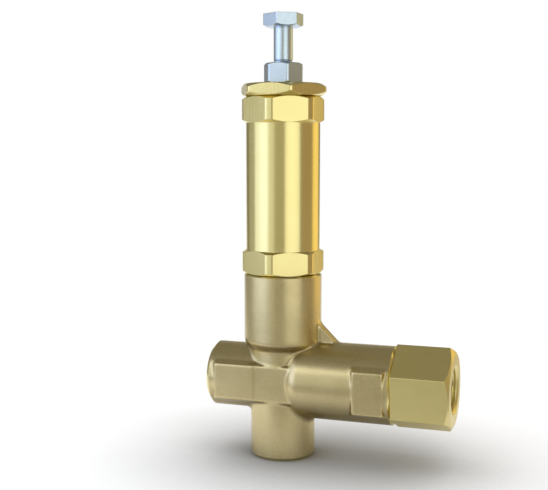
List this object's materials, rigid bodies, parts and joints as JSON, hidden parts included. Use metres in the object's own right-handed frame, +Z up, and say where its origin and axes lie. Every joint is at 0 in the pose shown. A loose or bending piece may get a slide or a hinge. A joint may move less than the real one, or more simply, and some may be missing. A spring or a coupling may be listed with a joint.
{
  "type": "pressure relief valve",
  "caption": "Brass in-line pressure relief and unloader valve: forged cross body with threaded inlet, outlet and bypass, tall spring housing and hexagon adjusting screw with lock nut.",
  "frame": {"origin": "centre of the bypass port's face, at the bottom of the body", "axes": "+Z up the spring housing, +X out of the outlet, -Y is the front"},
  "size_m": [0.1197, 0.0398, 0.2146],
  "materials": {
    "forged_brass": "forged, shot blasted, satin",
    "turned_brass": "turned and polished",
    "plated_steel": "zinc plated",
    "stainless": "turned",
    "spring_steel": "oiled",
    "seal_rubber": "matt",
    "ring_plastic": "matt"
  },
  "bodies": {
    "valve": {"valve_body": "forged_brass", "spring_housing": "turned_brass", "top_cap": "turned_brass", "outlet_fitting": "turned_brass", "piston_sleeve": "stainless", "sleeve_o_ring": "seal_rubber", "stem_guide": "turned_brass", "guide_outer_o_ring": "seal_rubber", "guide_inner_o_ring": "seal_rubber", "relief_seat": "stainless", "relief_seat_o_ring": "seal_rubber", "fitting_o_ring": "seal_rubber", "check_seat": "stainless", "check_seat_o_ring": "seal_rubber", "main_spring": "spring_steel", "check_spring": "spring_steel"},
    "upper_plate": {"upper_spring_plate": "stainless"},
    "screw": {"adjusting_screw": "plated_steel"},
    "nut": {"lock_nut": "plated_steel"},
    "relief": {"piston": "stainless", "piston_o_ring": "seal_rubber", "piston_backup_ring": "ring_plastic", "relief_poppet": "stainless", "lower_spring_plate": "stainless"},
    "check": {"check_poppet": "stainless", "check_poppet_o_ring": "seal_rubber"}
  },
  "joints": [
    {"name": "adjust_travel", "type": "slide", "parent": "valve", "child": "upper_plate", "axis": [0, 0, 1], "range_m": [0, 0.009], "deforming": ["main_spring"]},
    {"name": "screw_turn", "type": "hinge", "parent": "upper_plate", "child": "screw", "pos_m": [0, 0, 0.1495], "axis": [0, 0, 1], "range_deg": [0, 2160]},
    {"name": "lock_nut_turn", "type": "hinge", "parent": "valve", "child": "nut", "pos_m": [0, 0, 0.1811], "axis": [0, 0, 1], "range_deg": [0, 180]},
    {"name": "relief_lift", "type": "slide", "parent": "valve", "child": "relief", "axis": [0, 0, 1], "range_m": [0, 0.003], "stiffness_N_per_m": 114000, "deforming": ["main_spring"]},
    {"name": "check_lift", "type": "slide", "parent": "valve", "child": "check", "axis": [1, 0, 0], "range_m": [0, 0.004], "stiffness_N_per_m": 600, "springref_m": -0.002, "deforming": ["check_spring"]}
  ],
  "couplings": [
    {"joint": "screw_turn", "follows": "adjust_travel", "rad_per_m": 4188.8}
  ]
}
